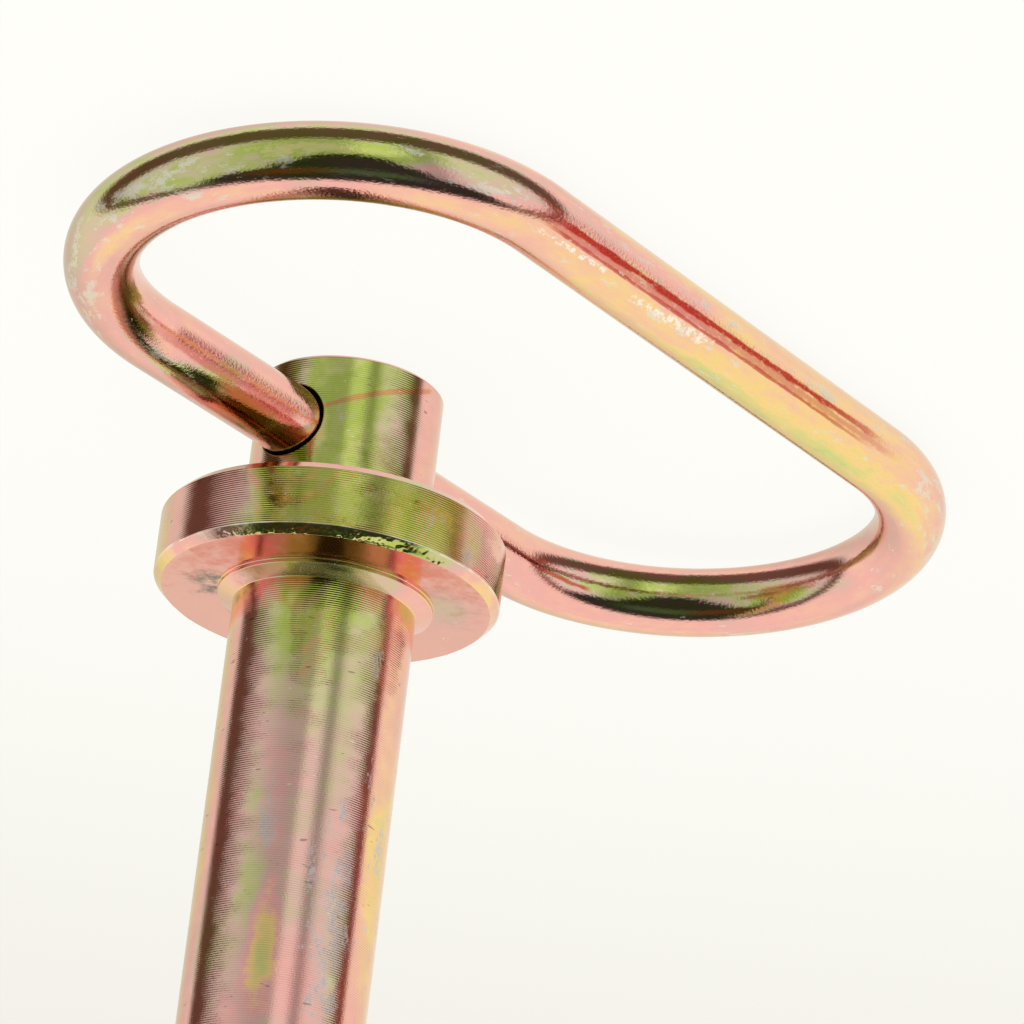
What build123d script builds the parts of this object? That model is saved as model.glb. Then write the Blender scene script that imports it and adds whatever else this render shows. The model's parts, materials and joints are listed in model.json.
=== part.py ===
from build123d import *
from math import asin, degrees
import os

# Trailer hitch pin: a turned steel pin with a collar and a cross-drilled head, and a bar handle
# that swings in the head. Millimetres.
# The pin stands upside down on the flat end of its head, with +Z up along it to the tip. The
# origin is the centre of that flat end. X runs along the handle's hole, and the handle reaches
# out to +Y, where its grip lies on the surface that the head stands on.

# Shank
shank_diameter = 19.0
shank_length = 130.0
tip_length = 4.0
tip_taper = 2.6

# Low cone where the shank meets the collar
root_width = 1.7
root_step = 0.45
root_height = 1.3

# Collar
collar_diameter = 36.0
collar_thickness = 8.0
collar_chamfer = 0.9

# Head
head_diameter = 19.4
head_length = 15.6
head_chamfer = 0.3

# Handle, one round bar bent to a long loop with its two ends in the head
bar_diameter = 7.5
bend_radius = 23.8
straight_length = 59.6
end_gap = 2.0
side_shift = -1.6
pivot_height = 7.1
bar_clearance = 0.25
mouth_chamfer = 0.35

# Clip hole, drilled through the shank near the tip
clip_hole_diameter = 5.0
clip_hole_from_tip = 14.0

# Worked out from the sizes above
shank_radius = shank_diameter / 2
head_radius = head_diameter / 2
collar_radius = collar_diameter / 2
bar_radius = bar_diameter / 2
collar_bottom = head_length
collar_top = collar_bottom + collar_thickness
tip_height = collar_top + shank_length
root_radius = shank_radius + root_width
half_straight = straight_length / 2
half_gap = end_gap / 2

# The loop droops from the pivot by the angle that lets the grip touch the surface at z = 0
grip_reach = 2 * bend_radius
droop = degrees(asin((pivot_height - bar_radius) / grip_reach))

# Pin: one turned profile. It is drawn in the YZ plane, so that the seam of the round faces
# stays clear of the two holes, which both run along X.
with BuildPart() as pin:
    with BuildSketch(Plane.YZ):
        with BuildLine():
            Polyline(
                (0, 0),
                (head_radius, 0),
                (head_radius, collar_bottom),
                (collar_radius, collar_bottom),
                (collar_radius, collar_top),
                (root_radius, collar_top),
                (root_radius, collar_top + root_step),
                (shank_radius, collar_top + root_height),
                (shank_radius, tip_height - tip_length),
                (shank_radius - tip_taper, tip_height),
                (0, tip_height),
                close=True,
            )
        make_face()
        collar_corners = vertices().sort_by(Axis.X)[-2:]
        chamfer(collar_corners, length=collar_chamfer)
        foot_corner = vertices().group_by(Axis.Y)[0].sort_by(Axis.X)[-1]
        chamfer(foot_corner, length=head_chamfer)
    revolve(axis=Axis.Z)
    with Locations(Plane(origin=(collar_radius, 0, pivot_height), z_dir=(1, 0, 0))):
        Hole(radius=bar_radius + bar_clearance)
    chamfer(edges(Select.LAST), length=mouth_chamfer)
    with Locations(Plane(origin=(collar_radius, 0, tip_height - clip_hole_from_tip), z_dir=(1, 0, 0))):
        Hole(radius=clip_hole_diameter / 2)
pin.part.label = "pin"

# Handle: a round bar swept along half a leg, a bend, the straight grip, the other bend and the
# other leg. The small gap between its two ends is hidden in the middle of the hole.
loop_plane = Plane(origin=(side_shift, 0, pivot_height), x_dir=(1, 0, 0), z_dir=(0, 0, 1))
loop_plane = loop_plane.rotated((-droop, 0, 0))
with BuildPart() as handle:
    with BuildLine(loop_plane) as route:
        right_leg = Line((half_gap, 0), (half_straight, 0))
        right_bend = CenterArc((half_straight, bend_radius), bend_radius, -90, 180)
        grip = Line(right_bend @ 1, (-half_straight, grip_reach))
        left_bend = CenterArc((-half_straight, bend_radius), bend_radius, 90, 180)
        left_leg = Line(left_bend @ 1, (-half_gap, 0))
    with BuildSketch(Plane(origin=route.line @ 0, z_dir=route.line % 0)):
        Circle(bar_radius)
    sweep()
handle.part.label = "handle"

os.makedirs("parts", exist_ok=True)
export_step(pin.part, "parts/pin.step")
export_step(handle.part, "parts/handle.step")
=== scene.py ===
# %% [markdown]
# A trailer hitch pin in yellow zinc.
#
# The real object is two pieces of steel. The pin is turned on a lathe: a head, a collar and a
# long shank, with one hole drilled across the head. The handle is a round bar, bent to a long
# loop, whose two ends sit in that hole, so that it swings. Both are zinc plated and then dipped
# in a passivating bath, which leaves a clear film so thin that it colours the bright metal green,
# pink and gold, as oil does on water.
#
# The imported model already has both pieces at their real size, and nothing here moves or resizes
# them. This lesson makes finer meshes of them, because such bright metal shows every facet, and
# then gives them their finish and their light.

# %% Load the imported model
import bpy
import json
from math import atan2, cos, hypot, pi, radians, sin, sqrt
from types import SimpleNamespace
from mathutils import Matrix, Vector
from mathutils.noise import noise as lump


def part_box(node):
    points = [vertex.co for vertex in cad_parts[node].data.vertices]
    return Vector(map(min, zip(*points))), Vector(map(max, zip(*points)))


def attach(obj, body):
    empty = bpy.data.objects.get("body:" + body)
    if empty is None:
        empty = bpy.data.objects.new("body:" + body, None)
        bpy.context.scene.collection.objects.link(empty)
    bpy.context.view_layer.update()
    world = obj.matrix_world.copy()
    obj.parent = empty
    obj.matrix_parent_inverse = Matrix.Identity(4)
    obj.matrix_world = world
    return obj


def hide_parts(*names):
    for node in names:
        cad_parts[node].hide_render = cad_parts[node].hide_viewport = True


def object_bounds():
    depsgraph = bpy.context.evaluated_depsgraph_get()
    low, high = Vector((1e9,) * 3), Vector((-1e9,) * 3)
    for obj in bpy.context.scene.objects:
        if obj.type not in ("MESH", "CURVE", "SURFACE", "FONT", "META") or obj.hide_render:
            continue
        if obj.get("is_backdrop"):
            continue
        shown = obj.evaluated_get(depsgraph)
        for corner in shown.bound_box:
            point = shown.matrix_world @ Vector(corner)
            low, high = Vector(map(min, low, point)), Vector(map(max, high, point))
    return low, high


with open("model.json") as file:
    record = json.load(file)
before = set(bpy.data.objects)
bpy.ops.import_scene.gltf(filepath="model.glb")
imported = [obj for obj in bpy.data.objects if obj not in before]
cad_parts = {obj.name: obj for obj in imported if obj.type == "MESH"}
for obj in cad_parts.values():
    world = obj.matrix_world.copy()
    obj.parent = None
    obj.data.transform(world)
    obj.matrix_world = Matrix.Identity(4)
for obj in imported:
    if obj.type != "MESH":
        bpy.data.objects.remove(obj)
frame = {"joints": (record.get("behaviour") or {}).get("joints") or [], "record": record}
cad_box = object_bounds()
record = frame["record"]

# %% [markdown]
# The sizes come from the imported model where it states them: its boxes, its mounts and its joint.
# A size that is read from a box is rounded to the tenth of a millimetre that it was drawn to.
# What the model doesn't state, such as a chamfer, is a named value here. Shapes are worked out
# in millimetres, as a drawing would give them, and turned to metres when their mesh is made.

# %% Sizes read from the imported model, in millimetres
MM = 0.001
mounts = {mount["name"]: mount for mount in record["mounts"]}
pin_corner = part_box("pin")[1] / MM
DRAWN_TO = 1
shank_radius = mounts["shank"]["dims"]["r_mm"]
collar_radius = round(pin_corner.x, DRAWN_TO)
collar_top = mounts["seat_face"]["pos_m"][2] / MM
tip_height = round(pin_corner.z, DRAWN_TO)
clip_radius = mounts["clip_hole"]["dims"]["r_mm"]
clip_height = mounts["clip_hole"]["pos_m"][2] / MM
pivot_height = frame["joints"][0]["pos_m"][2] / MM
print("collar radius", round(collar_radius, 3), "tip height", round(tip_height, 3))

# %% Sizes of the turned pin, in millimetres
collar_thickness = 8.0
collar_chamfer = 0.9
head_radius = 9.7
head_chamfer = 0.3
hole_radius = 4.0
mouth_lip = 0.14
root_width = 1.7
root_step = 0.45
root_height = 1.3
tip_length = 4.0
tip_taper = 2.6
edge_radius = 0.12
NEAR = 0.01
print("collar", collar_thickness, "mm thick, head", 2 * head_radius, "mm round, hole", 2 * hole_radius, "mm")

# %% [markdown]
# Node trees for shapes and for finishes are written the same way, so a few helpers serve all of
# them. One adds a node and fills its inputs, and the others add a Math node or two.

# %% Helpers for node trees


def put(tree, kind, inputs=None, **settings):
    """Adds a node, sets its properties, and links or sets its inputs."""
    node = tree.nodes.new(kind)
    for name, value in settings.items():
        setattr(node, name, value)
    for key, value in (inputs or {}).items():
        if isinstance(value, bpy.types.NodeSocket):
            tree.links.new(value, node.inputs[key])
        else:
            node.inputs[key].default_value = value
    return node


def bare_tree(owner):
    """The node tree of a material or a world, emptied."""
    owner.use_nodes = True
    owner.node_tree.nodes.clear()
    return owner.node_tree


def calc(tree, operation, *values):
    """One Math node's result."""
    return put(tree, "ShaderNodeMath", dict(enumerate(values)), operation=operation).outputs[0]


def product(tree, first, *others):
    """Several numbers multiplied together."""
    for other in others:
        first = calc(tree, "MULTIPLY", first, other)
    return first


def span(tree, one, other):
    """The long side of a right angle that has these two short sides."""
    return calc(tree, "SQRT", calc(tree, "MULTIPLY_ADD", one, one, product(tree, other, other)))


def bearing(tree, over, along):
    """The angle in degrees from one direction towards another."""
    return product(tree, calc(tree, "ARCTAN2", over, along), 180 / pi)


print("node helpers ready")

# %% [markdown]
# A finish is patterns laid over one another. Each starts as noise or as a smooth step.

# %% Helpers for patterns


def mixed(tree, share, at_none, at_full):
    """A number that goes from one value to the other as share goes from 0 to 1."""
    step = calc(tree, "SUBTRACT", at_full, at_none)
    return calc(tree, "MULTIPLY_ADD", step, share, at_none)


def ramp(tree, value, low, high):
    """0 at low, 1 at high, and a smooth rise between them. High may be the smaller."""
    return put(tree, "ShaderNodeMapRange", {"Value": value, 1: low, 2: high},
               interpolation_type="SMOOTHSTEP").outputs[0]


def stretched(tree, vector, scale):
    """The place with each axis multiplied, to stretch or squeeze a pattern."""
    return put(tree, "ShaderNodeVectorMath", {0: vector, 1: scale}, operation="MULTIPLY").outputs[0]


def noise(tree, vector, scale, detail, seed, roughness=0.5):
    """Noise with features about 1 / scale wide, mostly within 0.6 of 0 and never past 2."""
    node = put(tree, "ShaderNodeTexNoise",
               {"Vector": vector, "W": seed, "Scale": scale, "Detail": detail, "Roughness": roughness},
               noise_dimensions="4D")
    return calc(tree, "MULTIPLY_ADD", node.outputs[0], 4, -2)


def band(tree, value, low, high, soft):
    """1 between two values and 0 outside them, with soft edges."""
    falling = ramp(tree, value, high + soft, high - soft)
    return product(tree, ramp(tree, value, low - soft, low + soft), falling)


print("pattern helpers ready")

# %% [markdown]
# The film's colour depends on how thick it is. The colours are set as a circle: green, tan,
# rose, pink, orange, gold and green again. So one number, the film's thickness, is painted on
# each piece, and one colour ramp turns it into colour. That gives patches their right
# neighbours, as a mix of separate colours can't. The colour goes into the metal itself, because
# a metal's colour is the colour of its reflections.

# %% The film's colours
FILM_COLOURS = (
    (0.00, (0.46, 0.56, 0.11)),
    (0.14, (0.62, 0.56, 0.30)),
    (0.28, (0.74, 0.48, 0.40)),
    (0.42, (0.89, 0.45, 0.40)),
    (0.58, (0.92, 0.55, 0.37)),
    (0.74, (0.94, 0.67, 0.26)),
    (0.90, (0.66, 0.66, 0.24)),
    (1.00, (0.46, 0.56, 0.11)),
)


def film_colour(tree, thickness):
    """The metal's colour for a film's thickness, where 1 is one full round of the colours."""
    share = calc(tree, "FRACT", thickness)
    node = put(tree, "ShaderNodeValToRGB", {0: share})
    stops = node.color_ramp.elements
    while len(stops) < len(FILM_COLOURS):
        stops.new(0.5)
    for stop, (place, colour) in zip(stops, FILM_COLOURS):
        stop.position = place
        stop.color = (*colour, 1)
    return node.outputs[0]


def tinted(tree, share, under, over, blend="MIX"):
    """One colour laid over another by a share."""
    node = put(tree, "ShaderNodeMix", {0: share, 6: under, 7: over}, data_type="RGBA", blend_type=blend)
    return node.outputs[2]


def laid_on(tree, colour, marks):
    """The colour with marks laid on it in turn. A mark is its share, its colour and perhaps a blend."""
    for share, over, *blend in marks:
        colour = tinted(tree, share, colour, over, *blend)
    return colour


print("film colours", len(FILM_COLOURS), "for a thickness from 0 to 1, and then round again")

# %% [markdown]
# Marks are ovals and lines, drawn as if the piece were rolled out flat: one way is the distance
# along it, and the other is the turn round it in degrees. A place's measure is 0 at the mark's
# middle and 1 at its edge. Noise added to the measure makes the edge ragged.

# %% Spots, lines and patches
SPOT_GONE, SPOT_FULL = 1.5, 0.3
LINE_GONE, LINE_FULL = 1.3, 0.5
LINE_END = 0.04


def in_spot(tree, at, spot):
    """1 in a ragged oval and 0 outside it. A spot is its middle's place and turn, and half sizes."""
    middle, middle_turn, half, half_turn = spot
    off = calc(tree, "DIVIDE", calc(tree, "SUBTRACT", at.along, middle), half)
    round_by = calc(tree, "WRAP", calc(tree, "SUBTRACT", at.turn, middle_turn), 180, -180)
    off_turn = calc(tree, "DIVIDE", round_by, half_turn)
    measure = calc(tree, "ADD", span(tree, off, off_turn), at.ragged)
    return ramp(tree, measure, SPOT_GONE, SPOT_FULL)


def in_spots(tree, at, spots):
    """1 in any of several spots and 0 outside them all."""
    share = 0.0
    for spot in spots:
        share = calc(tree, "MAXIMUM", in_spot(tree, at, spot), share)
    return share


def on_line(tree, along, across, ragged, line):
    """1 on a ragged line and 0 off it. A line is two ends, as (along, across), and half a width."""
    start, across_start, end, across_end, half_width = line
    share = put(tree, "ShaderNodeMapRange", {"Value": along, 1: start, 2: end}).outputs[0]
    middle = mixed(tree, share, across_start, across_end)
    off = calc(tree, "DIVIDE", calc(tree, "ABSOLUTE", calc(tree, "SUBTRACT", across, middle)), half_width)
    inside = band(tree, share, LINE_END, 1 - LINE_END, LINE_END)
    measure = calc(tree, "ADD", off, ragged)
    return product(tree, inside, ramp(tree, measure, LINE_GONE, LINE_FULL))


def patched(tree, thickness, at, patches):
    """The film with patches laid in. A patch is a spot, the film's thickness there and a share."""
    for *spot, film, strength in patches:
        share = product(tree, in_spot(tree, at, spot), strength)
        thickness = mixed(tree, share, thickness, film)
    return thickness


print("a spot is full within", SPOT_FULL, "and gone at", SPOT_GONE, "of its half size")

# %% [markdown]
# Both finishes start with one metal shader and end by giving it a colour, a fine relief and a
# roughness that is higher where it is worn.

# %% Start and end of a finish


def new_finish(name):
    """A material with only its metal shader and its output."""
    finish = bpy.data.materials.new(name)
    tree = bare_tree(finish)
    metal = put(tree, "ShaderNodeBsdfPrincipled", {"Metallic": 1})
    put(tree, "ShaderNodeOutputMaterial", {"Surface": metal.outputs[0]})
    return finish, tree, metal


def dress(tree, metal, colour, relief, worn, roughness):
    """Gives the metal its colour, its relief in millimetres, and its roughness, clean and worn."""
    tree.links.new(colour, metal.inputs["Base Color"])
    bump = put(tree, "ShaderNodeBump", {"Strength": 1, "Distance": MM, "Height": relief}).outputs[0]
    tree.links.new(bump, metal.inputs["Normal"])
    tree.links.new(mixed(tree, worn, *roughness), metal.inputs["Roughness"])


print("finish helpers ready")

# %% [markdown]
# The pin is one turned piece, so one half outline, spun about its axis, gives all of it. The
# spin could be a Screw modifier, but bright metal needs exact normals as well as exact points,
# so the outline is made as points that know which way their surface faces. Every edge has a tiny
# radius, as a real edge has, because that is what catches the light. The chamfer that will be
# torn gets extra rings of points, and one more ring on the face, just inside the tear.

# %% The outline's corners, from the foot to the tip
BURR_RINGS = 7
TEAR_REACH = 0.25
collar_bottom = collar_top - collar_thickness
root_radius = shank_radius + root_width
corners = [
    (head_radius - head_chamfer, 0),
    (head_radius, head_chamfer),
    (head_radius, collar_bottom),
    (collar_radius - collar_chamfer, collar_bottom),
    (collar_radius, collar_bottom + collar_chamfer),
    (collar_radius, collar_top - collar_chamfer),
    (collar_radius - collar_chamfer, collar_top),
    (root_radius, collar_top),
    (root_radius, collar_top + root_step),
    (shank_radius, collar_top + root_height),
    (shank_radius, tip_height - tip_length),
    (shank_radius - tip_taper, tip_height),
]


def rounded(before, corner, after, radius, steps=4):
    """Points and outward normals of the small arc that rounds one corner of the outline."""
    into = (corner - before).normalized()
    out = (after - corner).normalized()
    turn = into.angle_signed(out)
    setback = radius * abs(sin(turn / 2) / cos(turn / 2))
    start = corner - into * setback
    arc = []
    place = start.copy()
    for step in range(steps + 1):
        share = step / steps
        heading = into.lerp(out, share).normalized()
        if step:
            place = place + (heading + last).normalized() * (abs(turn) * radius / steps)
        last = heading
        arc.append((place.x, place.y, heading.y, -heading.x))
    return arc


def half_outline():
    """The whole half outline as (radius, height, normal's radial part, normal's upward part)."""
    points = [Vector((0, 0)), *(Vector(corner) for corner in corners), Vector((0, tip_height))]
    outline = [(0, 0, 0, -1)]
    for before, corner, after in zip(points, points[1:], points[2:]):
        outline += rounded(before, corner, after, edge_radius)
    return [*outline, (0, tip_height, 0, 1)]


def finer(outline, low, high, pieces):
    """The outline with its straight run between two heights cut into pieces."""
    result = outline[:1]
    for before, after in zip(outline, outline[1:]):
        run = hypot(after[0] - before[0], after[1] - before[1])
        if before[1] >= low and after[1] <= high and run > 2 * edge_radius:
            for step in range(1, pieces):
                share = step / pieces
                result.append(tuple(a + (b - a) * share for a, b in zip(before, after)))
        result.append(after)
    return result


outline = finer(half_outline(), collar_top - collar_chamfer, collar_top - NEAR, BURR_RINGS)
tear_edge = collar_radius - collar_chamfer - TEAR_REACH
beside_tear = max(index for index, point in enumerate(outline) if point[0] > tear_edge) + 1
outline.insert(beside_tear, (tear_edge, collar_top, 0, 1))
print("outline points", len(outline))

# %% [markdown]
# The spun mesh is rings of points joined by four-sided faces, closed by one point at each end.
# The collar's chamfer on the shank's side is torn, as a cutting tool can leave an edge, so its
# points are pushed in by a noise that goes round it. The tear is deepest at one turn. It grows
# from nothing at the rim to its full depth at the face, and only goes inwards, so the collar
# keeps its size.

# %% Spin the outline
ROUND_STEPS = 720
BURR_DEPTH = 0.24
TEAR_TURN = radians(133)
FAR_TEAR = 0.16


def burr(radius, height, turn):
    """The depth of the tear at one point, in millimetres."""
    share = (height - collar_top + collar_chamfer) / collar_chamfer
    if share <= 0 or height > collar_top + NEAR or radius < tear_edge + 0.1:
        return 0
    place = Vector((cos(turn), sin(turn), 0)) * radius
    place.z = 2.5 * height
    coarse = lump(place * 0.35) + 0.6 * lump(place * 1.1)
    fine = lump(place * 2.9)
    share *= FAR_TEAR + (1 - FAR_TEAR) * max(0, cos(turn - TEAR_TURN)) ** 2
    return BURR_DEPTH * share * min(max(0.15 + 0.8 * coarse + 0.7 * fine, 0), 1)


def spun_mesh(name, outline):
    """A closed mesh of the outline turned about Z, in metres."""
    rings = outline[1:-1]
    verts = [(0, 0, outline[0][1] * MM), (0, 0, outline[-1][1] * MM)]
    for radius, height, radial, upward in rings:
        for step in range(ROUND_STEPS):
            turn = 2 * pi * step / ROUND_STEPS
            deep = burr(radius, height, turn)
            out = radius - deep * radial
            verts.append((out * cos(turn) * MM, out * sin(turn) * MM, (height - deep * upward) * MM))
    faces = []
    for ring in range(len(rings)):
        low = 2 + ring * ROUND_STEPS
        for step in range(ROUND_STEPS):
            here, there = low + step, low + (step + 1) % ROUND_STEPS
            if ring == 0:
                faces.append((0, there, here))
            if ring == len(rings) - 1:
                faces.append((1, here, there))
            else:
                faces.append((here, there, there + ROUND_STEPS, here + ROUND_STEPS))
    mesh = bpy.data.meshes.new(name)
    mesh.from_pydata(verts, [], faces)
    return mesh


def add_object(name, data):
    """Puts a mesh, a camera or a lamp in the scene as an object at the origin."""
    made = bpy.data.objects.new(name, data)
    bpy.context.scene.collection.objects.link(made)
    return made


turned_pin = add_object("turned_pin", spun_mesh("turned_pin", outline))
print("spun points", len(turned_pin.data.vertices))

# %% [markdown]
# The two holes are cut by Boolean. A drill's mouth on a round side is saddle shaped, so a plain
# cone would cut the lip deep at one place and miss at another. The cutter's rings follow the
# saddle instead: each point of them knows how far out the round side lies there. The lip itself
# is a quarter round, because a worn edge shows as a soft bright line and not as a flat band.

# %% Cut the holes
BORE_STEPS = 160
LIP_STEPS = 5
RUN_PAST = 0.5


def bore_cutter(name, height, radius, side_radius, lip):
    """A closed cutter along X, with a rounded lip where it leaves a round side of that radius."""
    half = []
    lip_turns = [pi / 2 * step / LIP_STEPS for step in range(LIP_STEPS + 1)]
    shape = [(lip * (1 - cos(turn)), -lip * (1 - sin(turn))) for turn in lip_turns]
    for wider, out in (*shape, (2 * lip, 0.1 * lip)):
        ring = []
        for step in range(BORE_STEPS):
            turn = 2 * pi * step / BORE_STEPS
            side = sqrt(side_radius**2 - ((radius + wider) * cos(turn)) ** 2)
            ring.append((side + out, (radius + wider) * cos(turn), (radius + wider) * sin(turn)))
        half.append(ring)
    last = half[-1]
    half.append([(side_radius + RUN_PAST, y, z) for _, y, z in last])
    rings = [[(-x, y, z) for x, y, z in ring] for ring in reversed(half)] + half
    verts = [(x * MM, y * MM, (z + height) * MM) for ring in rings for x, y, z in ring]
    faces = [tuple(reversed(range(BORE_STEPS))), tuple(range(len(verts) - BORE_STEPS, len(verts)))]
    for low in range(0, len(verts) - BORE_STEPS, BORE_STEPS):
        for step in range(BORE_STEPS):
            here, there = low + step, low + (step + 1) % BORE_STEPS
            faces.append((here, there, there + BORE_STEPS, here + BORE_STEPS))
    mesh = bpy.data.meshes.new(name)
    mesh.from_pydata(verts, [], faces)
    return add_object(name, mesh)


def settled(made):
    """The object's mesh with its modifiers applied."""
    bpy.context.view_layer.update()
    evaluated = made.evaluated_get(bpy.context.evaluated_depsgraph_get())
    mesh = bpy.data.meshes.new_from_object(evaluated)
    made.modifiers.clear()
    return mesh


turned_pin.data.materials.append(bpy.data.materials.new("turned face"))
for name, height, radius, side_radius in (
    ("cross_hole", pivot_height, hole_radius, head_radius),
    ("clip_hole", clip_height, clip_radius, shank_radius),
):
    cutter = bore_cutter(name, height, radius, side_radius, mouth_lip)
    cutter.data.materials.append(bpy.data.materials.new("bored face"))
    cut = turned_pin.modifiers.new(name, "BOOLEAN")
    cut.object = cutter
    cut.operation = "DIFFERENCE"
    cut.solver = "EXACT"
    cut.material_mode = "TRANSFER"
    turned_pin.data = settled(turned_pin)
    bpy.data.objects.remove(cutter)
print("points after the holes", len(turned_pin.data.vertices), [m.name for m in turned_pin.data.materials])

# %% [markdown]
# Shading from averaged faces would ripple round the holes, where long thin faces meet. So each
# corner of each face gets its true normal: on a turned face from the outline, and on a bored
# face from its place round the hole's axis. Only the tear keeps its averaged normals.

# %% True normals for the pin


def outline_normal(radius, height):
    """The outward normal of the outline's point nearest to this one, as (radial, upward)."""
    best = (1e9, (1, 0))
    for (r0, z0, n0, m0), (r1, z1, n1, m1) in zip(outline, outline[1:]):
        run_r, run_z = r1 - r0, z1 - z0
        share = ((radius - r0) * run_r + (height - z0) * run_z) / max(run_r**2 + run_z**2, 1e-12)
        share = min(max(share, 0), 1)
        gap = hypot(radius - r0 - share * run_r, height - z0 - share * run_z)
        if gap < best[0] - 1e-6:
            best = (gap, (n0 + share * (n1 - n0), m0 + share * (m1 - m0)))
    return best[1]


def true_normals(mesh):
    """Sets each face corner's normal from the shape that the face was made as."""
    known = {}
    normals = []
    bored = [material.name.startswith("bored") for material in mesh.materials]
    for face in mesh.polygons:
        for index in face.vertices:
            point = mesh.vertices[index].co / MM
            if bored[face.material_index]:
                middle = pivot_height if point.z < collar_bottom else clip_height
                across = Vector((0, -point.y, middle - point.z)).normalized()
                outward = face.normal.x
                normals.append(across * sqrt(max(1 - outward**2, 0)) + Vector((outward, 0, 0)))
                continue
            radius = hypot(point.x, point.y)
            in_tear = point.z > collar_top - collar_chamfer + 0.05 and radius > tear_edge + NEAR
            if in_tear and point.z < collar_top + NEAR:
                normals.append(mesh.vertices[index].normal.copy())
                continue
            key = (round(radius, 4), round(point.z, 4))
            if key not in known:
                known[key] = outline_normal(*key)
            radial, upward = known[key]
            spoke = Vector((point.x, point.y, 0)) / max(radius, 1e-6)
            normals.append(spoke * radial + Vector((0, 0, upward)))
    mesh.polygons.foreach_set("use_smooth", [True] * len(mesh.polygons))
    mesh.normals_split_custom_set(normals)
    upward = mesh.attributes.new("upward", "FLOAT", "CORNER")
    upward.data.foreach_set("value", [normal.z for normal in normals])
    return len(known)


print("normals worked out", true_normals(turned_pin.data))

# %% [markdown]
# Now the turned pin's marks. A place on the pin is its height, or minus its radius on a flat
# face, and its turn in degrees from the side that the camera sees. The stain runs round the
# head, so its ends are given the other way about, as a turn and a height.

# %% Marks on the turned pin
PIN_PATCHES = (
    (9.0, -21, 3.5, 8, -0.24, 0.7), (4.0, -46, 8.0, 17, 0.08, 0.9), (19.0, 28, 4.5, 14, 0.03, 0.8),
    (8.8, 28, 4.6, 13, 0.17, 0.85), (19.0, -38, 3.0, 10, 0.37, 0.95), (19.8, 53, 3.4, 9, 0.10, 0.8),
    (25.2, -72, 2.4, 26, 0.78, 0.9), (25.2, 72, 2.4, 26, 0.78, 0.9), (30.0, -38, 4.0, 10, 0.14, 0.7),
    (37.0, -42, 4.5, 11, 0.34, 0.8), (47.5, -30, 3.0, 8, 0.06, 0.6), (49.5, -13, 4.0, 5, 0.46, 0.6),
    (57.5, -24, 4.5, 10, 0.05, 0.65), (65.0, -11, 5.5, 8, 0.86, 0.9), (57.0, 63, 11.0, 15, 0.74, 0.8),
    (68.0, 50, 8.0, 8, 0.62, 0.7), (-12.2, 80, 3.0, 24, 0.14, 0.7),
)
PIN_SCUFFS = ((62, 26, 13, 16), (33, 42, 2.6, 10), (47.5, 47, 5.0, 7), (52, 63, 2.5, 10), (51, -18, 5, 6),
              (21.6, 49, 1.6, 5), (19.4, 34, 1.4, 4))
HEAD_STAIN = (-20, 6.2, 60, 0.8, 0.35)
FACE_SMUDGE = (-11.2, -86, 3.0, 16)
# Painted shade: two darkened spots on the head beside the cross hole
HEAD_SHADE_SPOTS = ((13.2, -36, 3.4, 22), (4.0, -44, 8.0, 9))
# Painted reflection of the shank: a rose tint on the collar's face round the shank's root
FACE_SHANK_REFLECTION = (-14.2, 0, 5.0, 66)
SCUFF_COLOUR = (0.64, 0.61, 0.60, 1)
STAIN_COLOUR = (0.66, 0.26, 0.10, 1)
# The next two are the colours of the painted shank reflection and of the painted shade on the head
SHANK_REFLECTION_COLOUR = (0.86, 0.45, 0.36, 1)
HEAD_SHADE_COLOUR = (0.62, 0.52, 0.36, 1)
SMUDGE_COLOUR = (0.22, 0.20, 0.16, 1)
NICK_COLOUR = (0.22, 0.16, 0.13, 1)
GLINT_COLOUR = (0.86, 0.80, 0.58, 1)
# A pale line on the collar's rim: partly worn metal and partly a painted highlight
WORN_EDGE_AND_HIGHLIGHT = (0.84, 0.80, 0.66, 1)
# Colour of the painted shade in the tool's valleys
VALLEY_SHADE_COLOUR = (0.42, 0.38, 0.32, 1)
print("patches", len(PIN_PATCHES), "scuffs", len(PIN_SCUFFS))

# %% [markdown]
# The finish needs to know where on the pin it is. A flat face is told from a round side by how
# far its normal leans up or down, which the mesh keeps.

# %% Places on the turned pin
FILM_FRONT = radians(139.5)


def pin_place(tree):
    """What the pin's finish needs to know of a place, in millimetres and degrees."""
    place = put(tree, "ShaderNodeTexCoord").outputs["Object"]
    place = stretched(tree, place, (1 / MM, 1 / MM, 1 / MM))
    x, y, z = put(tree, "ShaderNodeSeparateXYZ", {0: place}).outputs
    to_side = calc(tree, "SUBTRACT", product(tree, x, sin(FILM_FRONT)), product(tree, y, cos(FILM_FRONT)))
    to_front = calc(tree, "MULTIPLY_ADD", x, cos(FILM_FRONT), product(tree, y, sin(FILM_FRONT)))
    spoke = span(tree, x, y)
    upward = put(tree, "ShaderNodeAttribute", attribute_name="upward").outputs["Fac"]
    slope = calc(tree, "ABSOLUTE", upward)
    flat = ramp(tree, slope, 0.85, 0.97)
    return SimpleNamespace(
        place=place, z=z, spoke=spoke, upward=upward, slope=slope, flat=flat,
        turn=bearing(tree, to_side, to_front),
        along=mixed(tree, flat, z, product(tree, spoke, -1)),
        ragged=product(tree, noise(tree, place, 0.45, 3, 6.0, 0.7), 0.55),
        up_shank=ramp(tree, z, collar_top + 1, collar_top + 24),
        far_up=ramp(tree, z, collar_top + 28, collar_top + 44),
    )


print("the pin's turns are counted from", round(FILM_FRONT * 180 / pi, 1), "degrees round it")

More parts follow.
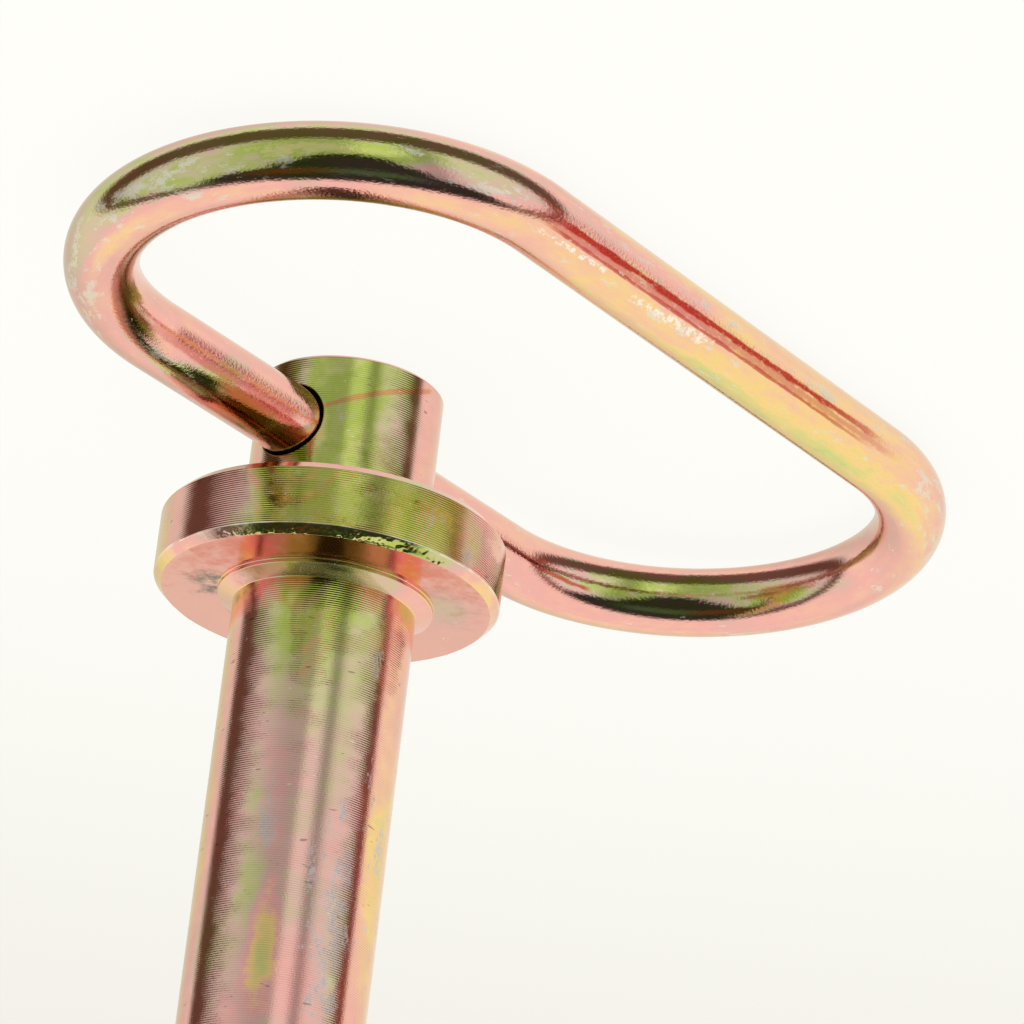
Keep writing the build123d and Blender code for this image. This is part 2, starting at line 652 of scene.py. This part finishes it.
# %% [markdown]
# The film is painted by the turn from the side that the camera sees: thin on the near side,
# thicker on both flanks, and thicker up the shank. This is partly film that really varies and
# partly a painted sheen: the film's colour shift from a face-on view to a grazing one, painted
# for the camera's side. A flank is the turns where it starts and is full, then its film at the
# collar and up the shank.

# %% The turned pin's film
# Near side and flanks: partly a painted sheen, the film's colour shift with viewing angle painted for the
# camera's side
NEAR_SIDE_FILM = (-0.01, 0.27)
FAR_UP_FILM = 0.35
FLANK_FILM = (
    (-20, -44, 0.30, 0.30),
    (-56, -76, 0.64, 0.64),
    (12, 26, 0.07, 0.30),
    (38, 54, 0.44, 0.58),
)
BACK_FILM = 0.08
UNDERSIDE_FILM = 0.42
FACE_FILM = 0.45


def pin_film(tree, at):
    """The film's thickness all over the pin."""
    on_side = mixed(tree, at.up_shank, *NEAR_SIDE_FILM)
    on_side = mixed(tree, at.far_up, on_side, FAR_UP_FILM)
    # The flanks' film is partly a painted sheen for the camera's side
    for start, full, at_collar, up_shank in FLANK_FILM:
        flank = mixed(tree, at.up_shank, at_collar, up_shank)
        on_side = mixed(tree, ramp(tree, at.turn, start, full), on_side, flank)
    on_side = mixed(tree, ramp(tree, calc(tree, "ABSOLUTE", at.turn), 105, 150), on_side, BACK_FILM)
    on_side = mixed(tree, ramp(tree, at.upward, -0.3, -0.6), on_side, UNDERSIDE_FILM)
    thickness = mixed(tree, at.flat, on_side, FACE_FILM)
    thickness = patched(tree, thickness, at, PIN_PATCHES)
    broad = noise(tree, stretched(tree, at.place, (1, 1, 0.6)), 0.16, 2, 1.0)
    spread = mixed(tree, at.flat, mixed(tree, at.up_shank, 0.07, 0.16), 0.03)
    thickness = calc(tree, "MULTIPLY_ADD", broad, spread, thickness)
    small = noise(tree, at.place, 0.7, 2, 2.0)
    return calc(tree, "MULTIPLY_ADD", small, mixed(tree, at.flat, 0.06, 0.012), thickness)


print("film on the near side", NEAR_SIDE_FILM, "and on", len(FLANK_FILM), "parts of the flanks")

# %% [markdown]
# Scuffs are noise that shows only where it is high, and spots lift it where the pin is rubbed.
# Nicks and glints are finer noise, squeezed along the pin so that they lie across it.

# %% The turned pin's wear


def pin_wear(tree, at):
    """Where the pin is scuffed, and where its face is smudged."""
    field = noise(tree, stretched(tree, at.place, (1, 1, 0.5)), 0.5, 4, 7.0, 0.75)
    field = calc(tree, "MULTIPLY_ADD", in_spots(tree, at, PIN_SCUFFS), 0.7, field)
    speckle = ramp(tree, noise(tree, stretched(tree, at.place, (1, 1, 0.7)), 3.2, 3, 9.0), -0.7, 0.5)
    scuffs = product(tree, ramp(tree, field, 0.50, 0.85), speckle, 0.85)
    smudge = product(tree, in_spot(tree, at, FACE_SMUDGE), ramp(tree, field, -0.5, 0.3), at.flat)
    return scuffs, smudge


def pin_marks(tree, at, scuffs, smudge):
    """The pin's marks in the order that they are laid on."""
    stain = on_line(tree, at.turn, at.z, at.ragged, HEAD_STAIN)
    # Painted reflection of the shank on the collar's face
    shank_reflection = product(tree, in_spot(tree, at, FACE_SHANK_REFLECTION), at.flat)
    nicks = ramp(tree, noise(tree, stretched(tree, at.place, (0.5, 0.6, 2.2)), 1.1, 1, 8.0), 0.88, 1.04)
    nicks = product(tree, nicks, ramp(tree, at.slope, 0.5, 0.2), 0.65)
    glints = ramp(tree, noise(tree, stretched(tree, at.place, (0.6, 0.5, 1.6)), 1.5, 2, 21.0), 0.86, 1.04)
    # A pale line on the collar's torn rim, partly worn metal and partly a painted highlight
    edge_height = collar_top - collar_chamfer
    edge = band(tree, at.z, edge_height - 0.1, edge_height + 0.14, 0.05)
    rubs = ramp(tree, noise(tree, at.place, 0.8, 2, 23.0), -0.9, 0.6)
    edge = product(tree, edge, rubs, ramp(tree, at.spoke, root_radius + 1, root_radius + 2), 0.8)
    return (
        (product(tree, stain, 0.7), STAIN_COLOUR),
        (scuffs, SCUFF_COLOUR),
        (shank_reflection, SHANK_REFLECTION_COLOUR, "MULTIPLY"),
        (smudge, SMUDGE_COLOUR),
        # Painted shade on the head beside the hole
        *((in_spot(tree, at, spot), HEAD_SHADE_COLOUR, "MULTIPLY") for spot in HEAD_SHADE_SPOTS),
        (nicks, NICK_COLOUR),
        (product(tree, glints, 0.6), GLINT_COLOUR),
        (edge, WORN_EDGE_AND_HIGHLIGHT),
    )


# The spots counted here are painted shade on the head
print("spots of painted shade", len(HEAD_SHADE_SPOTS), "and one stain, blush and smudge")

# %% [markdown]
# The cutting tool has left fine lines round the pin: a wave of the height along it, with a
# little wander, and painted shade that darkens its valleys. The finish puts all of this together.

# %% Finish of the turned pin
GROOVE_PITCH = 0.24
RIDGE_HEIGHT = 0.0046
PIN_GRAIN = (0.0012, 0.0020)
VALLEY_SHADE_SHARE = 0.34
PIN_ROUGHNESS = (0.11, 0.4)


def pin_grooves(tree, at):
    """The tool's lines, from -1 in a valley to 1 on a ridge."""
    wander = product(tree, noise(tree, at.place, 0.3, 1, 3.0), 0.02)
    wave = calc(tree, "SINE", product(tree, calc(tree, "ADD", at.z, wander), 2 * pi / GROOVE_PITCH))
    depth = ramp(tree, noise(tree, stretched(tree, at.place, (0.4, 0.4, 1)), 0.5, 2, 4.0), -1.4, 0.8)
    return product(tree, wave, depth, ramp(tree, at.slope, 0.4, 0.1))


def turned_zinc():
    """Zinc film over turned steel, in the pin's own place."""
    finish, tree, metal = new_finish("turned_zinc")
    at = pin_place(tree)
    scuffs, smudge = pin_wear(tree, at)
    grooves = pin_grooves(tree, at)
    colour = film_colour(tree, pin_film(tree, at))
    colour = laid_on(tree, colour, pin_marks(tree, at, scuffs, smudge))
    # Painted shade: the colour is darkened in the grooves' valleys
    valley = product(tree, ramp(tree, grooves, 0.1, -0.9), VALLEY_SHADE_SHARE)
    colour = tinted(tree, valley, colour, VALLEY_SHADE_COLOUR, "MULTIPLY")
    grain = product(tree, noise(tree, at.place, 5.0, 1, 5.0), mixed(tree, at.up_shank, *PIN_GRAIN))
    relief = calc(tree, "MULTIPLY_ADD", grooves, RIDGE_HEIGHT, grain)
    dress(tree, metal, colour, relief, calc(tree, "MAXIMUM", scuffs, smudge), PIN_ROUGHNESS)
    return finish


pin_finish = turned_zinc()
turned_pin.data.materials.clear()
turned_pin.data.materials.append(pin_finish)
turned_pin.data.polygons.foreach_set("material_index", [0] * len(turned_pin.data.polygons))
print("nodes in the pin's finish", len(pin_finish.node_tree.nodes))

# %% [markdown]
# The handle's bar follows a rule: half a leg, a half circle, the grip, a half circle and the
# other half leg. Its sizes come from its box and from the rule itself: it droops by just the
# angle that lets its grip touch the floor.

# %% The handle's sizes, in millimetres
handle_low, handle_high = (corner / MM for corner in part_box("handle"))
bar_radius = 3.75
bend_radius = 23.8
end_gap = 2.0
half_straight = round((handle_high.x - handle_low.x) / 2 - bend_radius - bar_radius, DRAWN_TO)
side_shift = round((handle_high.x + handle_low.x) / 2, DRAWN_TO)
grip_reach = 2 * bend_radius
droop = atan2(pivot_height - bar_radius, sqrt(grip_reach**2 - (pivot_height - bar_radius) ** 2))
print("half straight", round(half_straight, 3), "side shift", round(side_shift, 3), "droop", round(droop, 4))

# %% [markdown]
# Written out, each stretch is the distance along the bar, held between nothing and that stretch's
# own length, and the bar's place is the sum of what the stretches add. Geometry Nodes can say
# just that, so that the sizes stay sizes: a straight line is cut into many short steps, each step
# is moved to its place by the rule, and a circle is swept along.
#
# Each point also keeps its place on the bar as if it were still straight: how far along it is,
# and where it is on the round section. The finish reads that, because the film and the scratches
# follow the bar round its bends.

# %% The tree that bends the bar
BAR_SIZES = {
    "Half straight": half_straight,
    "Bend radius": bend_radius,
    "End gap": end_gap,
    "Bar radius": bar_radius,
    "Droop": droop,
    "Side shift": side_shift,
    "Pivot height": pivot_height,
}
BAR_STEPS = 640
SECTION_STEPS = 96


def stretch(tree, along, start, length):
    """How much of a stretch is behind this place: the distance past its start, held to its length."""
    past = calc(tree, "SUBTRACT", along, start)
    return calc(tree, "MINIMUM", calc(tree, "MAXIMUM", past, 0), length)


def shaped(tree, kind, inputs, **settings):
    """One Geometry node's first result."""
    return put(tree, "GeometryNode" + kind, inputs, **settings).outputs[0]


def bend_bar_tree():
    """Geometry nodes that make the bent bar from its sizes."""
    tree = bpy.data.node_groups.new("bend_bar", "GeometryNodeTree")
    for name in BAR_SIZES:
        tree.interface.new_socket(name, in_out="INPUT", socket_type="NodeSocketFloat")
    tree.interface.new_socket("Finish", in_out="INPUT", socket_type="NodeSocketMaterial")
    tree.interface.new_socket("Geometry", in_out="OUTPUT", socket_type="NodeSocketGeometry")
    size = put(tree, "NodeGroupInput").outputs

    half, bend = size["Half straight"], size["Bend radius"]
    whole = product(tree, half, 2)
    half_turn = product(tree, bend, pi)
    bar_length = calc(tree, "ADD", product(tree, whole, 2), product(tree, half_turn, 2))
    half_gap = calc(tree, "DIVIDE", size["End gap"], 2)

    line = shaped(tree, "CurvePrimitiveLine", {"End": (1, 0, 0)})
    line = shaped(tree, "ResampleCurve", {"Curve": line, "Count": BAR_STEPS})
    share = put(tree, "GeometryNodeSplineParameter").outputs["Factor"]
    bar_end = calc(tree, "SUBTRACT", bar_length, half_gap)
    along = put(tree, "ShaderNodeMapRange", {"Value": share, 3: half_gap, 4: bar_end}).outputs[0]

    leg_out = stretch(tree, along, 0, half)
    turn_out = calc(tree, "DIVIDE", stretch(tree, along, half, half_turn), bend)
    grip_start = calc(tree, "ADD", half, half_turn)
    grip_run = stretch(tree, along, grip_start, whole)
    back_start = calc(tree, "ADD", grip_start, whole)
    turn_back = calc(tree, "DIVIDE", stretch(tree, along, back_start, half_turn), bend)
    leg_start = calc(tree, "ADD", back_start, half_turn)
    leg_back = stretch(tree, along, leg_start, half)

    sines = calc(tree, "SUBTRACT", calc(tree, "SINE", turn_out), calc(tree, "SINE", turn_back))
    cosines = calc(tree, "SUBTRACT", calc(tree, "COSINE", turn_back), calc(tree, "COSINE", turn_out))
    legs = calc(tree, "ADD", leg_out, leg_back)
    place_x = calc(tree, "SUBTRACT", calc(tree, "MULTIPLY_ADD", sines, bend, legs), grip_run)
    place_y = product(tree, cosines, bend)
    place = put(tree, "ShaderNodeCombineXYZ", {"X": place_x, "Y": place_y}).outputs[0]

    rail = shaped(tree, "StoreNamedAttribute",
                  {"Geometry": line, "Name": "along", "Value": along}, data_type="FLOAT")
    rail = shaped(tree, "SetPosition", {"Geometry": rail, "Position": place})
    rail = shaped(tree, "SetCurveNormal", {"Curve": rail}, mode="Z_UP")
    section = shaped(tree, "CurvePrimitiveCircle",
                     {"Resolution": SECTION_STEPS, "Radius": size["Bar radius"]})
    section_place = put(tree, "GeometryNodeInputPosition").outputs[0]
    section = shaped(tree, "StoreNamedAttribute",
                     {"Geometry": section, "Name": "section", "Value": section_place},
                     data_type="FLOAT_VECTOR")
    bar = shaped(tree, "CurveToMesh",
                 {"Curve": rail, "Profile Curve": section, "Fill Caps": True})

    read_along = put(tree, "GeometryNodeInputNamedAttribute", {"Name": "along"}, data_type="FLOAT")
    read_section = put(tree, "GeometryNodeInputNamedAttribute", {"Name": "section"}, data_type="FLOAT_VECTOR")
    section_parts = put(tree, "ShaderNodeSeparateXYZ", {0: read_section.outputs["Attribute"]}).outputs
    section_up = product(tree, section_parts["Y"], -1)
    bar_place = put(tree, "ShaderNodeCombineXYZ",
                    {"X": read_along.outputs["Attribute"], "Y": section_parts["X"], "Z": section_up})
    bar = shaped(tree, "StoreNamedAttribute",
                 {"Geometry": bar, "Name": "bar_place", "Value": bar_place.outputs[0]},
                 data_type="FLOAT_VECTOR")

    tilt = product(tree, size["Droop"], -1)
    rotation = put(tree, "ShaderNodeCombineXYZ", {"X": tilt}).outputs[0]
    shift = put(tree, "ShaderNodeCombineXYZ", {"X": size["Side shift"], "Z": size["Pivot height"]}).outputs[0]
    bar = shaped(tree, "Transform",
                 {"Geometry": bar, "Translation": shift, "Rotation": rotation})
    bar = shaped(tree, "Transform", {"Geometry": bar, "Scale": (MM, MM, MM)})
    bar = shaped(tree, "SetShadeSmooth", {"Geometry": bar, "Shade Smooth": True})
    bar = shaped(tree, "RealizeInstances", {"Geometry": bar})
    bar = shaped(tree, "SetMaterial", {"Geometry": bar, "Material": size["Finish"]})
    put(tree, "NodeGroupOutput", {0: bar})
    return tree


bend_tree = bend_bar_tree()
print("nodes in the tree that bends the bar", len(bend_tree.nodes))

# %% [markdown]
# The bent bar's marks. A place on the bar is the distance along it from the middle of the hole,
# out by the leg towards +X, and the turn round its section in degrees: 0 on the loop's outside,
# 90 on top and 180 on its inside. A painted reflection, a thin dark red streak, is a line and a
# share, and so is the painted dark reflection on the left bend.

# %% Marks on the bent bar
BAR_PATCHES = (
    (190, -12, 27, 26, 0.04, 0.85), (200, 24, 14, 30, 0.12, 0.9), (184, 12, 9, 18, -0.07, 0.9),
    (172, 15, 7, 18, 0.16, 0.85), (189, 42, 14, 16, 0.04, 0.9), (215, 40, 9, 38, 0.13, 0.8),
    (214, 72, 6, 14, 0.90, 0.5), (190, 72, 8, 10, 0.34, 0.8), (203, 72, 11, 18, 0.62, 0.6),
    (174, 74, 9, 20, 0.64, 0.7), (246, 112, 14, 16, 0.04, 0.85), (250, 130, 8, 14, 0.02, 0.85),
    (257, 104, 8, 26, 0.02, 0.95), (247, 152, 3.0, 34, 0.07, 0.85), (116, -6, 17, 16, 0.66, 0.8),
    (134, -4, 12, 14, 0.62, 0.8), (42, 158, 9, 14, -0.07, 0.9), (46, 182, 11, 20, -0.05, 0.9),
    (55, 183, 5, 18, -0.08, 0.85), (53, 140, 14, 14, 0.02, 0.9), (62, 166, 7, 20, 0.0, 0.9),
    (66, 150, 4, 12, -0.16, 0.6), (73, 140, 6, 11, 0.06, 0.6), (75, 178, 9, 20, 0.34, 0.9),
    (118, 78, 19, 28, 0.80, 0.95), (128, 90, 16, 14, 0.90, 0.8), (106, 82, 6, 10, 0.92, 0.8),
    (110, 62, 5, 10, 0.50, 0.7), (150, 62, 14, 22, 0.68, 0.6), (153, 2, 14, 18, 0.34, 0.75),
    (150, 30, 16, 14, 0.42, 0.7), (98, 76, 15, 30, 0.78, 0.9), (91, 45, 9, 24, 0.66, 0.7),
    (80, 112, 18, 32, 0.42, 0.7), (46, 84, 14, 14, 0.64, 0.7),
)
# Painted reflections: thin dark red streaks along the bar
RED_REFLECTIONS = (
    (107, 13, 168, 26, 5.5, 0.95), (109, 33, 168, 41, 3.0, 0.75), (104, 24, 170, 34, 6.5, 0.5),
    (22, 166, 41, 153, 4.0, 0.8), (232, 150, 259, 152, 9.0, 0.6),
)
SCRATCHES = (
    (139, 50, 152, 58, 7.0), (138, 42, 146, 47, 4.0), (156, 48, 167, 54, 5.0),
)
BAR_SCUFFS = (
    (146, 58, 7, 12), (163, 52, 6, 5), (222, 70, 14, 30),
    (58, 80, 12, 14), (92, 36, 12, 40), (204, 26, 14, 34),
    (172, 16, 9, 22), (130, 2, 24, 14), (239, 122, 7, 12),
    (217, 25, 10, 34),
)
# Painted dark reflection: a darkened crescent on the left bend
BEND_DARK_REFLECTION = (204, 122, 235, 137, 14)
SCRATCH_COLOUR = (0.97, 0.88, 0.74, 1)
PALE_SCUFF = (0.80, 0.77, 0.64, 1)
# Colours of the painted red reflections and of the painted dark reflection on the bend
RED_REFLECTION_COLOUR = (0.50, 0.025, 0.012, 1)
BEND_REFLECTION_COLOUR = (0.50, 0.56, 0.36, 1)
FLECK = (0.88, 0.80, 0.56, 1)
print("patches", len(BAR_PATCHES), "scuffs", len(BAR_SCUFFS), "painted_reflections", len(RED_REFLECTIONS) + 1)

# %% [markdown]
# The bar's film is thicker along the grip. Most of its noise is stretched along the bar. A noise
# in the film is its squeeze along the bar, scale, detail, seed, roughness and share.

# %% Finish of the bent bar
BAR_FILM = (0.45, 0.64)
BAR_FILM_NOISE = (
    (0.45, 0.22, 2, 11.0, 0.5, 0.10),
    (0.06, 1.3, 3, 12.0, 0.6, 0.05),
    (0.5, 0.9, 4, 13.0, 0.7, 0.08),
)
BAR_GRAIN = 0.0050
BAR_ROUGHNESS = (0.09, 0.35)


def bar_noise(tree, place, squeeze, *settings):
    """Noise that is stretched along the bar."""
    return noise(tree, stretched(tree, place, (squeeze, 1, 1)), *settings)


def bar_place(tree):
    """What the bar's finish needs to know of a place, in millimetres and degrees."""
    place = put(tree, "ShaderNodeAttribute", attribute_name="bar_place").outputs["Vector"]
    along, out, up = put(tree, "ShaderNodeSeparateXYZ", {0: place}).outputs
    grip_middle = 2 * half_straight + pi * bend_radius
    off_grip = calc(tree, "ABSOLUTE", calc(tree, "SUBTRACT", along, grip_middle))
    return SimpleNamespace(
        place=place, along=along, turn=bearing(tree, up, out),
        on_grip=ramp(tree, off_grip, half_straight + 14, half_straight - 10),
        ragged=product(tree, bar_noise(tree, place, 0.35, 0.9, 4, 16.0, 0.7), 0.55),
    )


def bar_film(tree, at):
    """The film's thickness all over the bar."""
    thickness = patched(tree, mixed(tree, at.on_grip, *BAR_FILM), at, BAR_PATCHES)
    for *pattern, spread in BAR_FILM_NOISE:
        thickness = calc(tree, "MULTIPLY_ADD", bar_noise(tree, at.place, *pattern), spread, thickness)
    return thickness


def bar_marks(tree, at, scuffs, flecks):
    """The bar's marks in the order that they are laid on."""
    hatch = ramp(tree, bar_noise(tree, at.place, 0.5, 3.0, 3, 22.0), -1.4, -0.2)
    rubs = ramp(tree, noise(tree, at.place, 2.4, 4, 24.0), -0.3, 0.4)
    marks = []
    # Painted reflections: thin dark red streaks along the bar
    for *line, strength in RED_REFLECTIONS:
        faded = ramp(tree, at.along, line[0] - 10, line[0] + 14)
        stain = product(tree, on_line(tree, at.along, at.turn, at.ragged, line), faded, strength, hatch)
        marks.append((stain, RED_REFLECTION_COLOUR))
    for line in SCRATCHES:
        scratch = product(tree, on_line(tree, at.along, at.turn, at.ragged, line), rubs)
        marks.append((scratch, SCRATCH_COLOUR))
    # Painted dark reflection on the left bend
    marks.append((on_line(tree, at.along, at.turn, at.ragged, BEND_DARK_REFLECTION), BEND_REFLECTION_COLOUR, "MULTIPLY"))
    return (*marks, (scuffs, PALE_SCUFF), (flecks, FLECK))


def bent_bar_zinc():
    """Zinc film over drawn bar, in the place along and round the bar."""
    finish, tree, metal = new_finish("bar_zinc")
    at = bar_place(tree)
    field = bar_noise(tree, at.place, 0.4, 0.7, 5, 17.0, 0.8)
    field = calc(tree, "MULTIPLY_ADD", in_spots(tree, at, BAR_SCUFFS), 0.35, field)
    scuffs = product(tree, ramp(tree, field, 0.36, 0.64), 0.75)
    flecks = ramp(tree, bar_noise(tree, at.place, 0.35, 2.2, 3, 18.0), 0.75, 1.0)
    flecks = product(tree, flecks, mixed(tree, at.on_grip, 0.7, 0.25))
    colour = film_colour(tree, bar_film(tree, at))
    colour = laid_on(tree, colour, bar_marks(tree, at, scuffs, flecks))
    grain = product(tree, bar_noise(tree, at.place, 0.7, 4, 3, 15.0), BAR_GRAIN)
    dress(tree, metal, colour, grain, calc(tree, "MAXIMUM", scuffs, flecks), BAR_ROUGHNESS)
    return finish


bar_finish = bent_bar_zinc()
print("nodes in the bar's finish", len(bar_finish.node_tree.nodes))

# %% [markdown]
# Now the tree bends the bar, and the result is kept as a plain mesh, with the places that the
# finish reads.

# %% Bend the bar
loop_handle = add_object("loop_handle", bpy.data.meshes.new("loop_handle"))
bend = loop_handle.modifiers.new("bend", "NODES")
bend.node_group = bend_tree
for socket in bend.node_group.interface.items_tree:
    if socket.name in BAR_SIZES:
        bend[socket.identifier] = BAR_SIZES[socket.name]
    if socket.name == "Finish":
        bend[socket.identifier] = bar_finish
loop_handle.data = settled(loop_handle)
print("handle points", len(loop_handle.data.vertices), [a.name for a in loop_handle.data.attributes])

# %% [markdown]
# Each piece rides on its body, so that the handle swings with its joint, and takes the place of
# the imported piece.

# %% Put the pieces on their bodies
for piece, node, slot in ((turned_pin, "pin", "turned_zinc"), (loop_handle, "handle", "bar_zinc")):
    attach(piece, node)
    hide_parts(node)
    print(piece.name, "rides on", node, "with", len(piece.data.polygons), "faces")

# %% [markdown]
# The camera's place, direction and long lens were fitted to the outlines in the photo, and so
# was its roll of nearly half a turn, because the photo is turned that far.

# %% Camera
camera_place = Vector((-0.43133, 0.36769, 0.25413))
look_azimuth = radians(-38.617)
look_down = radians(23.203)
camera_roll = radians(-173.4)
focal_length = 208.16
camera_data = bpy.data.cameras.new("camera")
camera_data.lens = focal_length
camera_data.sensor_width = 36
camera = add_object("camera", camera_data)
forward = Vector((cos(look_azimuth) * cos(look_down), sin(look_azimuth) * cos(look_down), -sin(look_down)))
level = forward.to_track_quat("-Z", "Y").to_matrix()
facing = level @ Matrix.Rotation(camera_roll, 3, "Z")
camera.matrix_world = Matrix.Translation(camera_place) @ facing.to_4x4()
bpy.context.scene.camera = camera
print("camera right", [round(x, 4) for x in facing.col[0]], "up", [round(x, 4) for x in facing.col[1]])

# %% [markdown]
# Bright metal is a picture of what is round it, so most of its look is the studio. Here that is
# a world that only glossy rays see. It is drawn on a flat round chart: the chart's middle is the
# direction from the object to the camera, and places are as far from the middle as they are in
# degrees. It stays fixed, so from another side the metal shows other parts of it.

# %% The chart of the studio


def inside_oval(tree, chart, middle, half_size, soft):
    """1 inside an oval on the chart and 0 outside it, with a soft edge. Sizes in degrees."""
    parts = []
    for place, centre, half in zip(chart, middle, half_size):
        parts.append(calc(tree, "DIVIDE", calc(tree, "SUBTRACT", place, centre), half))
    edge = soft / min(half_size)
    return calc(tree, "SUBTRACT", 1, ramp(tree, span(tree, *parts), 1 - edge, 1 + edge))


world = bpy.data.worlds.new("studio")
bpy.context.scene.world = world
sky = bare_tree(world)
direction = put(sky, "ShaderNodeTexCoord").outputs["Generated"]
right_part, up_part, back_part = (
    put(sky, "ShaderNodeVectorMath", {0: direction, 1: tuple(axis)}, operation="DOT_PRODUCT").outputs["Value"]
    for axis in facing.col
)
level_part = span(sky, right_part, up_part)
angle = bearing(sky, level_part, back_part)
per_part = calc(sky, "DIVIDE", angle, calc(sky, "MAXIMUM", level_part, 0.0001))
chart = (product(sky, right_part, per_part), product(sky, up_part, per_part))
print("the chart's middle points along", [round(x, 3) for x in facing.col[2]])

# %% [markdown]
# The studio is a few plain shapes on the chart: a pale panel with the dark shape of a stand and
# its camera before it, a dark surround, white beyond that, and a duller white behind. The panel
# is brightest at the right and dimmest in the middle, with one glow above and a grey line.

# %% The studio that the metal reflects
PANEL_MIDDLE, PANEL_LEFT, PANEL_RIGHT, PANEL_LINE, PANEL_GLOW = 0.56, 0.80, 0.98, 0.46, 1.0
STAND_OVALS = (((1, -2), (19, 20), 3), ((1, -18), (29, 24), 2), ((1, -38), (50, 21), 2))
WHITE = (1.02, 1.01, 0.96, 1)
BEHIND_LEFT = (0.74, 0.74, 0.63, 1)
BEHIND_RIGHT = (0.93, 0.91, 0.80, 1)
SURROUND = (0.16, 0.11, 0.085, 1)
LEFT_EDGE = (0.155, 0.083, 0.060, 1)
RED_EDGE = (0.30, 0.08, 0.05, 1)
STAND = (0.036, 0.034, 0.030, 1)
STAND_GREY = (0.10, 0.12, 0.13, 1)
STAND_RED = (0.16, 0.05, 0.03, 1)
PLAIN = (0.9, 0.9, 0.88, 1)

across, above = chart
light = mixed(sky, ramp(sky, across, -12, -60), PANEL_MIDDLE, PANEL_LEFT)
light = mixed(sky, ramp(sky, across, 32, 50), light, PANEL_RIGHT)
light = mixed(sky, band(sky, across, 30, 37, 4), light, PANEL_LINE)
glow = product(sky, band(sky, across, 5, 25, 6), band(sky, above, 22, 62, 8))
light = mixed(sky, glow, light, PANEL_GLOW)
panel_colour = put(sky, "ShaderNodeCombineColor", {0: light, 1: light, 2: light}).outputs[0]

stand = 0.0
for oval in STAND_OVALS:
    stand = calc(sky, "MAXIMUM", stand, inside_oval(sky, chart, *oval))
stand_colour = tinted(sky, inside_oval(sky, chart, (4, -33), (20, 8), 4), STAND, STAND_GREY)
stand_colour = tinted(sky, inside_oval(sky, chart, (-20, -33), (14, 8), 4), stand_colour, STAND_RED)

reddish = product(sky, ramp(sky, across, 58, 74), ramp(sky, above, 34, 10))
surround_colour = tinted(sky, ramp(sky, across, -62, -86), SURROUND, LEFT_EDGE)
surround_colour = tinted(sky, reddish, surround_colour, RED_EDGE)
behind = tinted(sky, ramp(sky, across, -60, 60), BEHIND_LEFT, BEHIND_RIGHT)
behind = tinted(sky, ramp(sky, angle, 112, 150), WHITE, behind)
studio_colour = laid_on(sky, behind, (
    (inside_oval(sky, chart, (-7, 23), (110, 85), 4), surround_colour),
    (inside_oval(sky, chart, (-5, 7), (93, 58), 3.5), panel_colour),
    (stand, stand_colour),
))

ray = put(sky, "ShaderNodeLightPath").outputs
studio = put(sky, "ShaderNodeBackground", {"Color": studio_colour, "Strength": 1}).outputs[0]
plain = put(sky, "ShaderNodeBackground", {"Color": PLAIN, "Strength": 1}).outputs[0]
shown = put(sky, "ShaderNodeMixShader", {0: ray["Is Glossy Ray"], 1: plain, 2: studio}).outputs[0]
put(sky, "ShaderNodeOutputWorld", {"Surface": shown})
print("nodes in the studio", len(sky.nodes))

# %% [markdown]
# The floor is nearly all its own light, so that it stays white with a faint soft shadow, and is
# a little darker far from the camera. The metal doesn't reflect it, as the studio is drawn.

# %% Floor and lamp
FLOOR_REACH = 3.0
FLOOR_NEAR = (1.0, 0.995, 0.95, 1)
FLOOR_FAR = (0.885, 0.865, 0.80, 1)
FLOOR_FADE = (0.54, 0.86)
OWN_LIGHT = 0.93
LAMP_SIZE = 1.6
LAMP_POWER = 4
floor_data = bpy.data.meshes.new("floor")
sides = ((-1, -1), (1, -1), (1, 1), (-1, 1))
floor_data.from_pydata([(x * FLOOR_REACH, y * FLOOR_REACH, 0) for x, y in sides], [], [(0, 1, 2, 3)])
floor = add_object("floor", floor_data)
floor.visible_glossy = False
floor_paint = bpy.data.materials.new("floor_paint")
paint = bare_tree(floor_paint)
spot = put(paint, "ShaderNodeTexCoord").outputs["Object"]
under_camera = (camera_place.x, camera_place.y, 0)
away = put(paint, "ShaderNodeVectorMath", {0: spot, 1: under_camera}, operation="DISTANCE").outputs["Value"]
floor_colour = tinted(paint, ramp(paint, away, *FLOOR_FADE), FLOOR_NEAR, FLOOR_FAR)
own_light = put(paint, "ShaderNodeEmission", {"Color": floor_colour, "Strength": 1}).outputs[0]
lit = put(paint, "ShaderNodeBsdfDiffuse", {"Color": floor_colour}).outputs[0]
surface = put(paint, "ShaderNodeMixShader", {0: OWN_LIGHT, 1: lit, 2: own_light}).outputs[0]
put(paint, "ShaderNodeOutputMaterial", {"Surface": surface})
floor_data.materials.append(floor_paint)
floor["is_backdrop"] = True
lamp_data = bpy.data.lights.new("soft_lamp", "AREA")
lamp_data.size = LAMP_SIZE
lamp_data.energy = LAMP_POWER
soft_lamp = add_object("soft_lamp", lamp_data)
soft_lamp.location = (-0.2, 0.1, 1.4)
soft_lamp.visible_glossy = False
bpy.context.scene.view_settings.view_transform = "Standard"
print("floor reaches", FLOOR_REACH, "m from the middle, under a lamp", LAMP_SIZE, "m wide")

# %% [markdown]
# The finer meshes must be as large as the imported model, so both boxes are written down.

# %% Measure and finish
seen_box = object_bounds()
for name, box in (("cad box", cad_box), ("visual box", seen_box)):
    print(name, [[round(x, 5) for x in corner] for corner in box])
